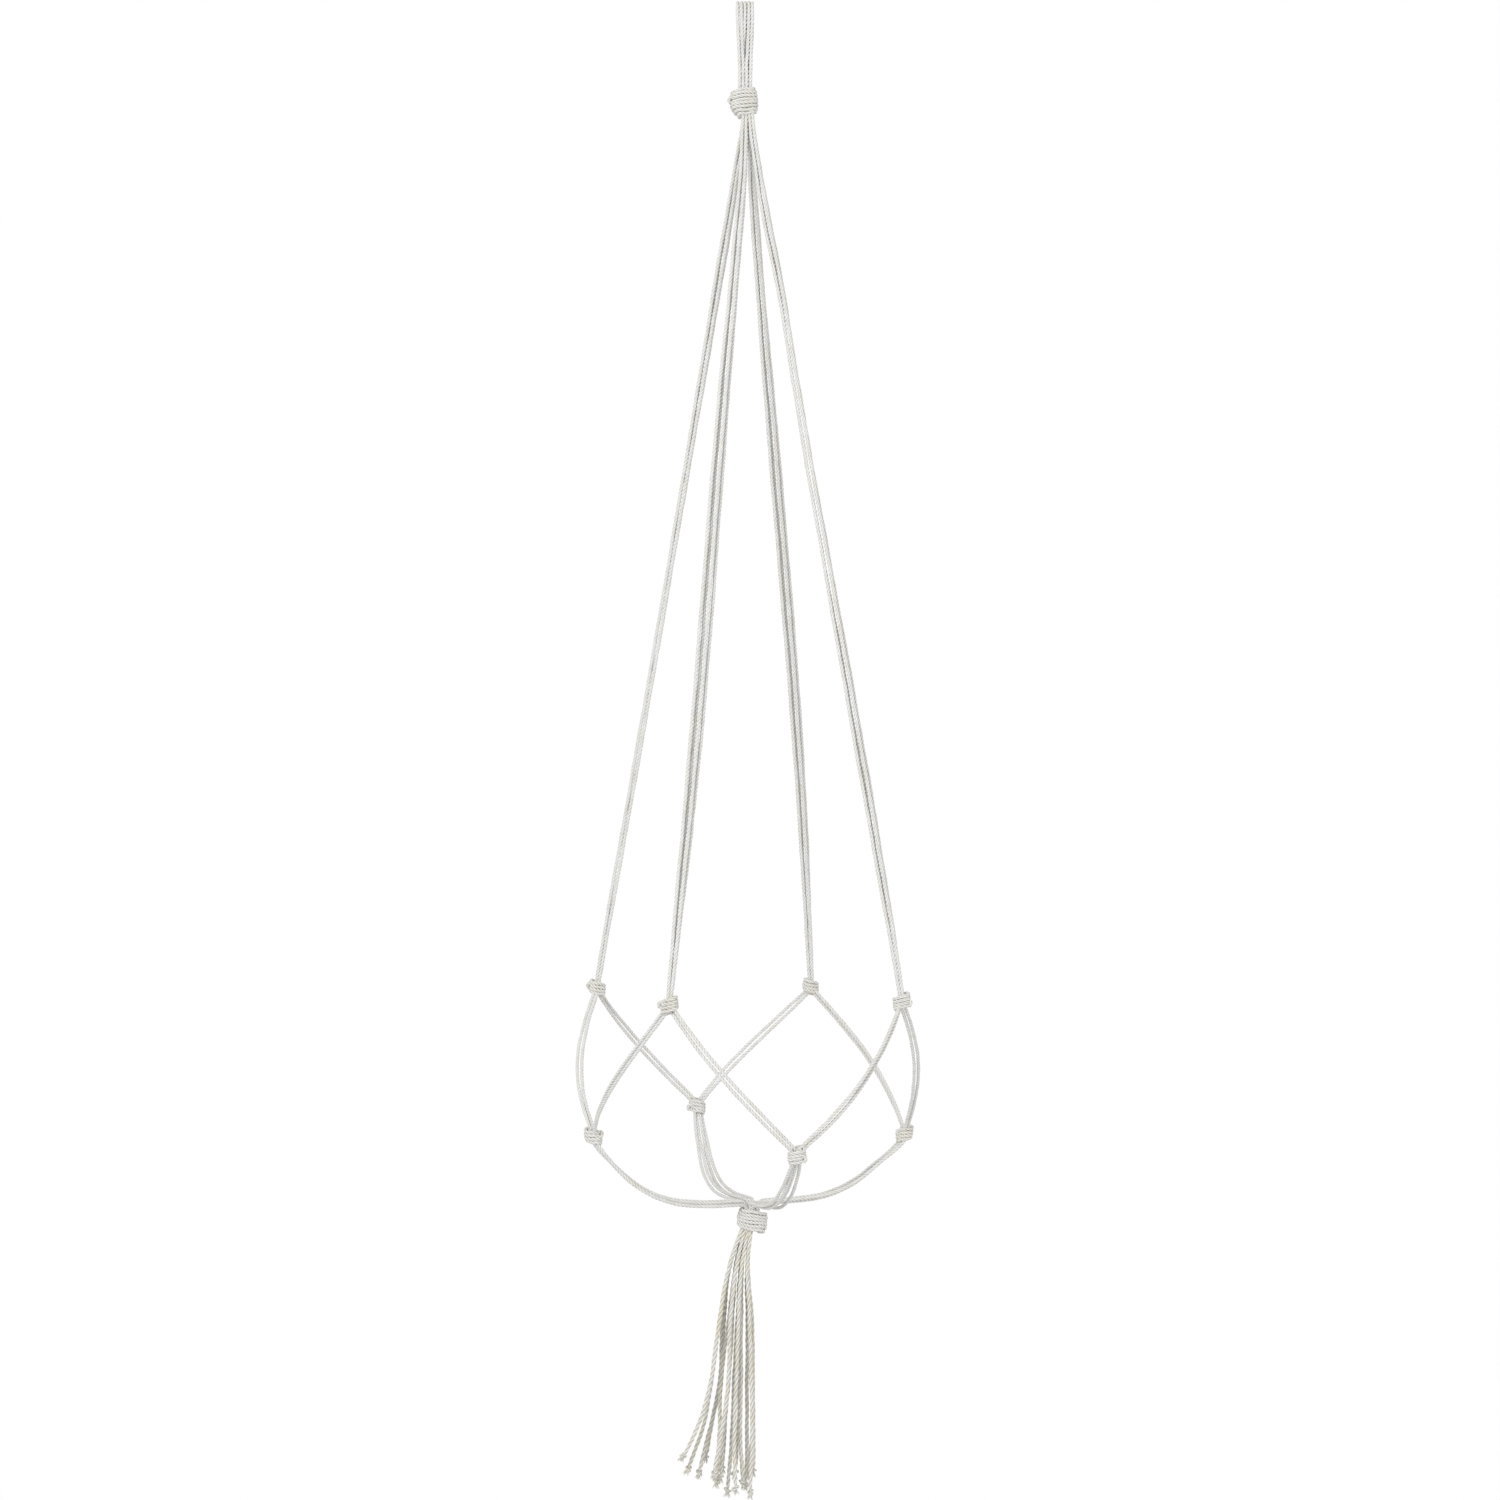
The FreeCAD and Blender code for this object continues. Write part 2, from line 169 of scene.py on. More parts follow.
def cord_mesh(strands, section=THREE_PLY, twist=TWIST_LENGTH):
    """A mesh of strands, each of them (line, radius at each point or for all, phase of the twist)."""
    curve = bpy.data.curves.new("strands", "CURVE")
    curve.dimensions = "3D"
    curve.bevel_mode = "OBJECT"
    curve.bevel_object = section
    curve.use_fill_caps = True
    curve.twist_mode = "MINIMUM"
    for line, radius, phase in strands:
        spline = curve.splines.new("POLY")
        count = len(line)
        spline.points.add(count - 1)
        along = np.r_[0, np.cumsum(np.linalg.norm(np.diff(line, axis=0), axis=1))]
        spline.points.foreach_set("co", np.c_[line, np.ones(count)].ravel())
        spline.points.foreach_set("tilt", phase + along / twist * 2 * math.pi)
        spline.points.foreach_set("radius", np.broadcast_to(radius, count).copy())
    holder = bpy.data.objects.new("strands", curve)
    bpy.context.collection.objects.link(holder)
    mesh = bpy.data.meshes.new_from_object(holder.evaluated_get(bpy.context.evaluated_depsgraph_get()))
    bpy.data.objects.remove(holder)
    bpy.data.curves.remove(curve)
    turns = max(length_of(line) for line, _, _ in strands) / twist
    uv = np.empty(len(mesh.loops) * 2, np.float32)
    mesh.uv_layers[0].data.foreach_get("uv", uv)
    uv = uv.reshape(-1, 2)[:, ::-1] * (1, turns)
    mesh.uv_layers[0].data.foreach_set("uv", uv.astype(np.float32).ravel())
    return close_up(mesh)


def close_up(mesh):
    """Merge the doubled points at the ends and turn every face outwards."""
    bm = bmesh.new()
    bm.from_mesh(mesh)
    bmesh.ops.remove_doubles(bm, verts=bm.verts, dist=1e-6)
    bmesh.ops.recalc_face_normals(bm, faces=bm.faces)
    for face in bm.faces:
        face.smooth = True
    bm.to_mesh(mesh)
    bm.free()
    return mesh


def cut_off(mesh, z, keep_above):
    """Cut a mesh level at z, close the cut, and keep one side."""
    bm = bmesh.new()
    bm.from_mesh(mesh)
    cut = bmesh.ops.bisect_plane(bm, geom=bm.verts[:] + bm.edges[:] + bm.faces[:], plane_co=(0, 0, z),
                                 plane_no=(0, 0, 1), clear_inner=keep_above, clear_outer=not keep_above)
    bmesh.ops.edgeloop_fill(bm, edges=[e for e in cut["geom_cut"] if isinstance(e, bmesh.types.BMEdge)])
    bmesh.ops.recalc_face_normals(bm, faces=bm.faces)
    bm.to_mesh(mesh)
    bm.free()
    return mesh


def add_piece(name, mesh, material, slot, *nodes):
    """An object of the mesh, with its material, hiding the construction's nodes it stands for. The slot is not
    used.
    """
    mesh.name = name
    mesh.materials.clear()
    mesh.materials.append(material)
    piece = bpy.data.objects.new(name, mesh)
    bpy.context.collection.objects.link(piece)
    if nodes:
        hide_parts(*nodes)
    return piece


def uneven(line, diameter):
    """The radius along a strand, which spinning leaves a little uneven."""
    along = np.r_[0, np.cumsum(np.linalg.norm(np.diff(line, axis=0), axis=1))]
    shift = rng.uniform(0, 6.28, 2)
    return diameter / 2 * (1 + 0.035 * np.sin(along * 311 + shift[0]) + 0.025 * np.sin(along * 733 + shift[1]))


def strand(line, diameter=CORD):
    """One strand ready for cord_mesh, at a place of its own in the twist."""
    return line, uneven(line, diameter), rng.uniform(0, 2 * math.pi)

# %% [markdown]
# The cotton is natural, off-white and matt. Under a lens it is thousands of fibres that follow the twist,
# with faint cream patches along the cord where the cotton was not bleached. The grooves between the plies
# get painted shade: the UV map says how far round the strand a point lies, so the grooves are found from it
# with a cosine and the colour is darkened there. The fibres are a noise stretched along the strand. Sheen
# stands for the fine fuzz.

# %% Cotton
PLIES_HALF = 1.5
PATCH_SCALE, WEAR_SCALE = 85, 240           # cream patches about 12 mm long, and wear about 4 mm
FIBRES_ROUND, FIBRES_PER_TURN = 42, 5


def number(nodes, links, operation, first, second=None):
    """A Math node; each input is a socket or a plain number."""
    node = nodes.new("ShaderNodeMath")
    node.operation = operation
    for i, value in enumerate((first, second)):
        if isinstance(value, (int, float)):
            node.inputs[i].default_value = value
        elif value is not None:
            links.new(value, node.inputs[i])
    return node.outputs[0]


def spread_out(nodes, links, value, low, high, from_low=0.0, from_high=1.0):
    """A Map Range node from one pair of limits to another."""
    node = nodes.new("ShaderNodeMapRange")
    node.inputs["From Min"].default_value = from_low
    node.inputs["From Max"].default_value = from_high
    node.inputs["To Min"].default_value = low
    node.inputs["To Max"].default_value = high
    links.new(value, node.inputs["Value"])
    return node.outputs["Result"]


def noise(nodes, links, vector, scale, detail):
    node = nodes.new("ShaderNodeTexNoise")
    node.inputs["Scale"].default_value = scale
    node.inputs["Detail"].default_value = detail
    links.new(vector, node.inputs["Vector"])
    return node.outputs["Fac"]


def cotton(name, tone, cream, painted_groove_shade, fuzz):
    """Natural cotton cord: its tone, its cream patches, how dark the painted shade in its grooves is, and its
    sheen.
    """
    material = bpy.data.materials.new(name)
    material.use_nodes = True
    nodes, links = material.node_tree.nodes, material.node_tree.links
    nodes.clear()
    out = nodes.new("ShaderNodeOutputMaterial")
    shader = nodes.new("ShaderNodeBsdfPrincipled")
    shader.inputs["Sheen Weight"].default_value = fuzz
    shader.inputs["Sheen Roughness"].default_value = 0.6
    shader.inputs["Specular IOR Level"].default_value = 0.15
    place = nodes.new("ShaderNodeTexCoord").outputs["Object"]
    strand_map = nodes.new("ShaderNodeUVMap")
    strand_map.uv_map = "UVMap"
    split = nodes.new("ShaderNodeSeparateXYZ")
    links.new(strand_map.outputs["UV"], split.inputs[0])
    turn = number(nodes, links, "MULTIPLY", split.outputs["X"], PLIES_HALF * 2 * math.pi)
    ridge = number(nodes, links, "ABSOLUTE", number(nodes, links, "COSINE", turn))
    patches = nodes.new("ShaderNodeValToRGB")
    patches.color_ramp.elements[0].position = 0.44
    patches.color_ramp.elements[0].color = (*tone, 1)
    patches.color_ramp.elements[1].position = 0.70
    patches.color_ramp.elements[1].color = (*cream, 1)
    links.new(noise(nodes, links, place, PATCH_SCALE, 3), patches.inputs["Fac"])
    along_fibres = nodes.new("ShaderNodeMapping")
    along_fibres.inputs["Scale"].default_value = (FIBRES_ROUND, FIBRES_PER_TURN, 1)
    links.new(strand_map.outputs["UV"], along_fibres.inputs["Vector"])
    fibres = noise(nodes, links, along_fibres.outputs["Vector"], 1.0, 4)
    # Painted shade: the colour is darkened in the grooves between the plies, where the ridge value is low.
    painted_groove_darkening = spread_out(nodes, links, ridge, painted_groove_shade, 1.0, 0.0, 0.75)
    streak = spread_out(nodes, links, fibres, 0.90, 1.03, 0.3, 0.7)
    worn = spread_out(nodes, links, noise(nodes, links, place, WEAR_SCALE, 2), 0.93, 1.03, 0.3, 0.7)
    # The colour is scaled by the painted groove shade, the fibre streaks and the wear.
    painted_shade_and_wear = number(nodes, links, "MULTIPLY", number(nodes, links, "MULTIPLY", painted_groove_darkening, streak), worn)
    mix = nodes.new("ShaderNodeVectorMath")
    mix.operation = "SCALE"
    links.new(patches.outputs["Color"], mix.inputs[0])
    links.new(painted_shade_and_wear, mix.inputs["Scale"])
    links.new(mix.outputs[0], shader.inputs["Base Color"])
    links.new(spread_out(nodes, links, fibres, 0.82, 0.98), shader.inputs["Roughness"])
    bump = nodes.new("ShaderNodeBump")
    bump.inputs["Strength"].default_value = 0.55
    bump.inputs["Distance"].default_value = 0.00025
    links.new(fibres, bump.inputs["Height"])
    links.new(bump.outputs["Normal"], shader.inputs["Normal"])
    links.new(shader.outputs["BSDF"], out.inputs["Surface"])
    return material


# The fourth number of each is how dark the painted shade in the grooves between the plies is.
COTTON = cotton("cotton_cord", (0.845, 0.842, 0.825), (0.825, 0.805, 0.735), 0.70, 0.25)
KNOTTED = cotton("knotted_cotton", (0.840, 0.830, 0.795), (0.815, 0.785, 0.700), 0.66, 0.25)
LOOSE = cotton("loose_cotton", (0.850, 0.832, 0.772), (0.815, 0.772, 0.640), 0.52, 0.30)
print("materials", [m.name for m in (COTTON, KNOTTED, LOOSE)])

# %% [markdown]
# An overhand knot can't be drawn well by hand, so it is tied here as it is in cord. The line starts as a wide
# open overhand, its two ends are pulled apart, the line keeps its length, and wherever it would pass through
# itself it is pushed apart by its own thickness. After some hundred small pulls it lies tight, and strands
# laid beside this line make the knot. The same tight line serves every knot, at its own size.

# %% Tie an overhand knot
LINK = 0.24                 # length of one link of the line, whose thickness is one
PULLS, PULL_STEP = 1500, 0.02
TAIL_REACH = 3.2            # how far past the knot the line is kept while it is pulled
BEND = 0.05                 # how strongly the line straightens in each round
KNOT_HALF = 1.9             # half the height of the tight knot


def wide_overhand():
    """An open overhand knot as a line of links, its ends up and down."""
    t = np.linspace(-2.2, 2.2, 400)
    line = np.stack([t ** 3 - 3 * t, t ** 4 - 4 * t ** 2, 0.42 * (t ** 5 - 10 * t) / 2.2], axis=1) * 0.8
    return evenly(line - line.mean(axis=0), LINK)


def push_apart(line, i, j):
    """Move every two points that are nearer than the line's thickness away from each other."""
    gap = line[i] - line[j]
    far = np.linalg.norm(gap, axis=1)
    near = far < 1.0
    push = gap[near] * ((1.0 - far[near]) / far[near])[:, None] / 2
    move, hits = np.zeros_like(line), np.zeros(len(line))
    np.add.at(move, i[near], push)
    np.add.at(move, j[near], -push)
    np.add.at(hits, i[near], 1)
    np.add.at(hits, j[near], 1)
    line += move / np.maximum(hits, 1)[:, None]


def keep_length(line):
    """Bring every link back to its length, first the even ones, then the odd ones."""
    for start in (0, 1):
        a, b = line[start:-1:2], line[start + 1::2]
        a = a[:len(b)]
        link = b - a
        fix = link * (1 - LINK / np.linalg.norm(link, axis=1)[:, None]) / 2
        a += fix
        b -= fix


def spare_ends(line):
    """Drop the links that have been pulled well clear of the knot."""
    middle = line[2:-2, 2].mean()

    def clear(last, before):
        far, farther = abs(line[before, 2] - middle), abs(line[last, 2] - middle)
        return len(line) > 40 and far > TAIL_REACH and farther > TAIL_REACH + 1.5

    while clear(0, 1):
        line = line[1:]
    while clear(-1, -2):
        line = line[:-1]
    return line


def tie_overhand():
    """Pull the wide knot tight and return its line, the upper end first, about its own middle."""
    line = wide_overhand()
    way = math.copysign(1, line[-1, 2] - line[0, 2])
    for _ in range(PULLS):
        line[0, 2] -= way * PULL_STEP
        line[-1, 2] += way * PULL_STEP
        line[[0, -1], :2] *= 0.9
        i, j = np.triu_indices(len(line), int(1.5 / LINK) + 1)
        for _ in range(5):
            line[1:-1] += BEND * ((line[:-2] + line[2:]) / 2 - line[1:-1])
            push_apart(line, i, j)
            keep_length(line)
        line = spare_ends(line.copy())
    if line[0, 2] < line[-1, 2]:
        line = line[::-1]
    return line - (0, 0, line[6:-6, 2].mean())


TIED = tie_overhand()
core = TIED[np.abs(TIED[:, 2]) < KNOT_HALF]
print("tied line", len(TIED), "points, knot", np.ptp(core, axis=0).round(2), "units")
print("length of the line", round(length_of(TIED), 1), "units")

# %% [markdown]
# In a real knot the strands don't stay in a round bundle. They spread into a flat ribbon that wraps the knot,
# a few rows high and one or two layers deep, and that is why a knot's face shows rows of cord. So the strands
# are laid beside the tied line in rows above each other and in layers outwards, and drawn together where the
# line runs up or down and where it crosses itself. The whole is then narrowed towards its head and foot. A
# short loop of slack cord may stand out at the side.

# %% Tie a knot from strands
LAYER = 0.92                # how far apart two layers lie, in diameters of the cord
ROW = 0.98                  # how far apart two rows lie, and a pressed strand's thickness, in diameters
RISE_GATHERS, CROSSING_GATHERS = 0.55, 0.35     # how much a ribbon draws together there
EASE = 6                    # points over which it does so


def slack_loop(outward, rise, reach, cord):
    """The route of a short loop of cord that stands out of a knot's side, from its middle."""
    out = Vector((outward[0], outward[1], 0)).normalized()
    side = Vector((-out.y, out.x, 0)) * 0.35 + Vector((0, 0, 1))
    side = side.normalized() * cord * 0.62
    middle = Vector((0, 0, rise))
    way = ((0.25, 1.0), (0.75, 1.1), (1.0, 1.1))
    there = [middle + out * reach * far + side * wide for far, wide in way]
    back = [middle + out * reach * far - side * wide for far, wide in reversed(way)]
    return there + back


def tied_knot(middle, thickness, height, turn, lean, rows, layers, cord, narrowing, ends,
              mirror=False, foot_x=0.0, loops=()):
    """The mesh of an overhand knot, its strands laid in rows and layers beside the tied line."""
    line = TIED[(TIED[:, 2] < ends[0]) & (TIED[:, 2] > -ends[1])]
    line = evenly(line * (thickness, thickness, thickness * height), RING_STEP)
    outward = line * (1, 1, 0)
    outward /= np.linalg.norm(outward, axis=1)[:, None]
    tangent = np.gradient(line, axis=0)
    tangent /= np.linalg.norm(tangent, axis=1)[:, None]
    upward = np.cross(outward, tangent)
    upward *= math.copysign(1, upward[len(line) // 2, 2])
    crossing = np.clip(-outward[:, 1], 0, 1) ** 2
    gather = (1 - RISE_GATHERS * np.abs(tangent[:, 2]) ** 1.5) * (1 - CROSSING_GATHERS * crossing)
    window = np.ones(2 * EASE + 1) / (2 * EASE + 1)
    gather = np.convolve(np.pad(gather, EASE, mode="edge"), window, mode="valid")[:, None]
    turned = Matrix.Rotation(lean[0], 3, "X") @ Matrix.Rotation(lean[1], 3, "Y") @ Matrix.Rotation(turn, 3, "Z")
    heights, widths = zip(*narrowing)
    strands = []
    for layer in range(layers):
        for row in range(rows):
            aside = (row - (rows - 1) / 2) * cord * ROW
            each = line + outward * (layer - (layers - 1) / 2) * cord * LAYER + upward * gather * aside
            each[:, :2] *= np.interp(each[:, 2], heights, widths)[:, None]
            each *= (-1 if mirror else 1, 1, 1)
            each = wander(evenly(each), DRIFT) @ np.array(turned).T
            each[:, 0] += foot_x * np.clip(-each[:, 2] / 0.013, 0, 1) ** 2
            each += np.array(middle)
            strands.append(strand(each, cord * ROW))
    for outward_way, rise, reach in loops:
        each = smooth_line(slack_loop(outward_way, rise, reach, cord)) + np.array(middle)
        strands.append(strand(each, cord * 0.92))
    return cord_mesh(strands)

# %% [markdown]
# The top of the hanger is the eight cords folded over the hook, three on it and five on top of those. Each
# goes up the front, over, and down the back, so sixteen strands come down and close up into four rows of four.
# Every strand is a free cord, so it is its own piece, and its length is measured. They reach into
# the top knot.

# %% Hanging loop
HOOK_R = 0.004
ON_HOOK, ON_TOP = HOOK_R + CORD / 2, HOOK_R + CORD / 2 + 0.00222
LOOP_END_Z, LOOP_IN_KNOT_Z = -0.0526, -0.0615
LOOP_STRANDS = (    # place across the hook, radius over it, column and row in the gathered block
    (-2.03, ON_TOP, -1.5, 1.5), (-1.02, ON_TOP, -0.5, 1.5), (0.02, ON_TOP, -0.5, 0.5),
    (1.03, ON_TOP, 0.5, 1.5), (2.02, ON_TOP - 0.0003, 1.5, 1.5),
    (-0.52, ON_HOOK, -1.5, 0.5), (0.5, ON_HOOK, 0.5, 0.5), (1.5, ON_HOOK, 1.5, 0.5),
)


def loop_route(place, radius, column, row):
    """Up the front, over the hook and down the back."""
    x, gathered_x, gathered_y = place * PITCH, column * PITCH, row * PITCH
    waist_x = x * 0.6 + gathered_x * 0.4
    waist_y = radius * 0.62 + gathered_y * 0.38
    back = [(x, radius, -radius - 0.0015), (waist_x, waist_y, -0.023),
            (gathered_x * 1.02, gathered_y * 1.02, -0.038),
            (gathered_x, gathered_y, LOOP_END_Z), (gathered_x, gathered_y, LOOP_IN_KNOT_Z)]
    front = [(a, -b, c) for a, b, c in reversed(back)]
    return front + [(x, -radius, radius - HOOK_R), (x, radius, radius - HOOK_R)] + back


loop_lengths = []
for place, radius, column, row in LOOP_STRANDS:
    line = wander(smooth_line(loop_route(place, radius, column, row)), DRIFT)
    piece = add_piece(f"loop_strand_{len(loop_lengths) + 1}", cord_mesh([strand(line)]), COTTON, "cotton_cord",
                      "hanging_loop")
    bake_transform(piece)
    loop_lengths.append(length_of(line))
print("loop strands", len(loop_lengths), "length", round(sum(loop_lengths) / len(loop_lengths), 3), "m")

# %% [markdown]
# The top knot ties all sixteen strands at once. It is a pear-shaped overhand, as high as it is wide, and on
# its face the cords lie in rows that are nearly level.

# %% Top knot
TOP_KNOT = dict(middle=(-0.0008, 0.0, -0.0664), thickness=0.0051, height=0.46, turn=math.pi, lean=(0.0, 0.0),
                rows=8, layers=2, cord=0.00255, ends=(1.6, 1.8), mirror=True,
                narrowing=((-0.0150, 0.34), (-0.0115, 0.46), (-0.0075, 0.80), (-0.0035, 1.0), (0.0035, 1.0),
                           (0.0080, 0.88), (0.0110, 0.68), (0.0140, 0.52)), foot_x=0.0026,
                loops=(((-1.0, -0.45), 0.0008, 0.0116),))
top_knot = add_piece("top_knot_tied", tied_knot(**TOP_KNOT), KNOTTED, "knotted_cord", "top_knot")
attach(top_knot, "top_knot")
print("top knot", len(top_knot.data.polygons), "faces")

# %% [markdown]
# The places of the small knots are the hanger's skeleton, the same as in the construction. Each is named by
# the side that it hangs on.

# %% Places of the knots
UPPER_KNOTS = {"left": (-0.1069, 0.053, -0.694), "front": (-0.0502, -0.105, -0.6915),
               "right": (0.1072, -0.053, -0.6938), "back": (0.0487, 0.105, -0.6975)}
LOWER_KNOTS = {"left": (-0.1047, -0.035, -0.7885), "front": (0.0346, -0.109, -0.791),
               "right": (0.1143, 0.035, -0.7965), "back": (-0.0358, 0.109, -0.7865)}
KNOT_TOP, KNOT_FOOT = 0.0070, 0.0066        # from a small knot's middle to its ends

# %% [markdown]
# Below the top knot the sixteen strands part into four legs of four, and each leg runs down to an upper knot.
# A leg's strands lie in a two by two block at both ends and drift a little apart between, which is why light
# shows between them. Just below the neck the legs fan out slowly, the two middle ones side by side, so three
# more places there lead each leg. Each strand is made in one length from inside the top knot to inside its
# upper knot, then cut at the height where the neck ends, so that the twist goes on unbroken.

# %% Neck and legs
NECK_X = 0.0020
NECK_IN_KNOT_Z, NECK_TOP_Z, NECK_CUT_Z = -0.0735, -0.083, -0.0875
LEG_STATIONS = (-0.300, -0.520)
BLOCK = ((-1, -1), (1, -1), (-1, 1), (1, 1))    # where a bundle's four strands lie
LEGS = {        # corner of the neck, the bow at both stations, and the four strands' places there
    "left": ((-1, 1), ((0.0009, -0.0005), (0.0013, 0.0004)),
             (((-0.0015, -0.0014), (0.0012, -0.0016), (-0.0013, 0.0015), (0.0015, 0.0013)),
              ((-0.0013, -0.0017), (0.0015, -0.0013), (-0.0016, 0.0013), (0.0012, 0.0017)))),
    "front": ((-1, -1), ((0.0016, 0.0007), (0.0036, -0.0004)),
              (((-0.0034, -0.0011), (0.0015, -0.0019), (-0.0014, 0.0015), (0.0036, 0.0008)),
               ((-0.0039, -0.0009), (0.0013, -0.0018), (-0.0012, 0.0016), (0.0040, 0.0009)))),
    "right": ((1, -1), ((-0.0008, -0.0005), (0.0007, 0.0006)),
              (((-0.0016, -0.0015), (0.0013, -0.0014), (-0.0023, 0.0014), (0.0016, 0.0015)),
               ((-0.0034, -0.0012), (0.0009, -0.0017), (-0.0014, 0.0015), (0.0029, 0.0011)))),
    "back": ((1, 1), ((0.0002, 0.0006), (0.0030, -0.0005)),
             (((-0.0037, -0.0008), (0.0011, -0.0017), (-0.0016, 0.0016), (0.0032, 0.0010)),
              ((-0.0031, -0.0013), (0.0013, -0.0015), (-0.0012, 0.0017), (0.0035, 0.0012)))),
}

FAN_STATIONS = (-0.1125, -0.1455, -0.205)
FAN = {         # below the neck the legs still lean together: each one's middle and half-width across, there
    "left": ((-0.0080, 0.0014), (-0.0133, 0.0022), (-0.0235, 0.0022)),
    "front": ((-0.0029, 0.0018), (-0.0055, 0.0022), (-0.0105, 0.0024)),
    "right": ((0.0066, 0.0016), (0.0122, 0.0024), (0.0240, 0.0018)),
    "back": ((0.0022, 0.0016), (0.0050, 0.0022), (0.0095, 0.0022)),
}
ACROSS = (-1.0, 0.6, -0.6, 1.0)     # where a leg's four strands lie across it


def leg_route(side, i):
    """One of a leg's four strands, from inside the top knot into its upper knot."""
    corner, bows, spreads = LEGS[side]
    knot = UPPER_KNOTS[side]
    top = (NECK_X + corner[0] * PITCH, corner[1] * PITCH)
    end_z = knot[2] + KNOT_TOP - 0.0016
    start = [top[k] + PITCH / 2 * BLOCK[i][k] for k in (0, 1)]
    end = [knot[k] + PITCH / 2 * BLOCK[i][k] for k in (0, 1)]
    route = [(NECK_X + (start[0] - NECK_X) * 0.8, start[1] * 0.8, NECK_IN_KNOT_Z), (*start, NECK_TOP_Z)]
    for z, (middle, half) in zip(FAN_STATIONS, FAN[side]):
        t = (z - NECK_TOP_Z) / (end_z - NECK_TOP_Z)
        y = top[1] + (knot[1] - top[1]) * t + PITCH / 2 * BLOCK[i][1]
        route.append((NECK_X + middle + half * ACROSS[i], y, z))
    for z, bow, spread in zip(LEG_STATIONS, bows, spreads):
        t = (z - NECK_TOP_Z) / (end_z - NECK_TOP_Z)
        route.append((*(top[k] + (knot[k] - top[k]) * t + bow[k] + spread[i][k] for k in (0, 1)), z))
    inside = [knot[k] + PITCH * 0.35 * BLOCK[i][k] for k in (0, 1)]
    return route + [(*end, end_z), (*inside, knot[2] + 0.0015)]


neck_strands, leg_lengths = [], []
for side in LEGS:
    for i in range(4):
        line = wander(smooth_line(leg_route(side, i)), DRIFT)
        made = strand(line)
        neck_strands.append(made)
        below = line[line[:, 2] < NECK_CUT_Z]
        piece = add_piece(f"{side}_leg_strand_{i + 1}", cut_off(cord_mesh([made]), NECK_CUT_Z, keep_above=False),
                          COTTON, "cotton_cord", f"{side}_leg")
        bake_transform(piece)
        leg_lengths.append(length_of(below))
neck = add_piece("neck_strands", cut_off(cord_mesh(neck_strands), NECK_CUT_Z, keep_above=True), COTTON,
                 "cotton_cord", "gathered_neck")
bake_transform(neck)
print("leg strands", len(leg_lengths), "length", round(sum(leg_lengths) / len(leg_lengths), 3), "m")

# %% [markdown]
# A small knot ties the four strands of a leg or of two net pairs. It is the same overhand, turned so that its
# loop stands out on the side where it does on the real hanger. The lower knots hang where cords turn in under
# the pot, so they lean towards the middle.

# %% Small knots
SMALL_KNOT = dict(thickness=0.0033, height=0.86, rows=4, layers=1, cord=0.0026, ends=(1.9, 1.9),
                  narrowing=((-0.0085, 0.58), (-0.0045, 0.92), (0.0, 1.06), (0.0045, 0.96), (0.0085, 0.66)))
SMALL_TURNS = {"upper": {"left": 200, "front": 150, "right": 180, "back": 210},
               "lower": {"left": 170, "front": 190, "right": 200, "back": 160}}
SLACK = {"upper": {"left": ((-1.0, -0.3), 0.0022, 0.0072), "front": ((-1.0, -0.1), 0.0006, 0.0070),
                   "right": ((1.0, -0.4), -0.0010, 0.0066), "back": ((-0.4, 1.0), 0.0, 0.0066)},
         "lower": {"left": ((1.0, -0.5), 0.0016, 0.0070), "front": ((0.9, -0.5), -0.0018, 0.0066),
                   "right": ((-0.9, -0.6), 0.0012, 0.0068), "back": ((-1.0, -0.3), -0.0008, 0.0070)}}
LOWER_LEAN = 0.16


def lean_in(x, y, angle):
    """Turns about X and Y that bring a knot's foot towards the middle."""
    away = math.hypot(x, y)
    return (-angle * y / away, angle * x / away)


for tier, knots, lean in (("upper", UPPER_KNOTS, 0.0), ("lower", LOWER_KNOTS, LOWER_LEAN)):
    for side, middle in knots.items():
        mesh = tied_knot(middle=middle, turn=math.radians(SMALL_TURNS[tier][side]),
                         lean=lean_in(middle[0], middle[1], lean), mirror=side in ("front", "right"),
                         loops=(SLACK[tier][side],), **SMALL_KNOT)
        piece = add_piece(f"{tier}_knot_{side}_tied", mesh, KNOTTED, "knotted_cord", f"{tier}_knot_{side}")
        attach(piece, "basket")
print("small knots", len(UPPER_KNOTS) + len(LOWER_KNOTS))

# %% [markdown]
# Between the two tiers the strands of each leg part into two pairs, and each pair crosses to the next lower
# knot, bowed out as if a round pot stood inside. The two strands of a pair stay side by side with a gap.

# %% Net pairs
NET_PAIRS = (   # upper knot, lower knot, radius of the bow, gap of its strands half way, sag, roll of the pair
    ("left", "left", 0.1191, 0.0031, 0.0, 75), ("front", "left", 0.1185, 0.0030, 0.0050, 10),
    ("front", "front", 0.1190, 0.0034, 0.0035, 0), ("right", "front", 0.1195, 0.0035, 0.0045, -10),
    ("right", "right", 0.1200, 0.0032, 0.0, 70), ("back", "right", 0.1200, 0.0033, 0.0005, 10),
    ("back", "back", 0.1200, 0.0036, -0.0025, 0), ("left", "back", 0.1190, 0.0035, 0.0, 0),
)
NET_CENTRE = np.array((0.001, 0.0))
PAIR_LEAN, PAIR_BITE = 0.00275, 0.0026


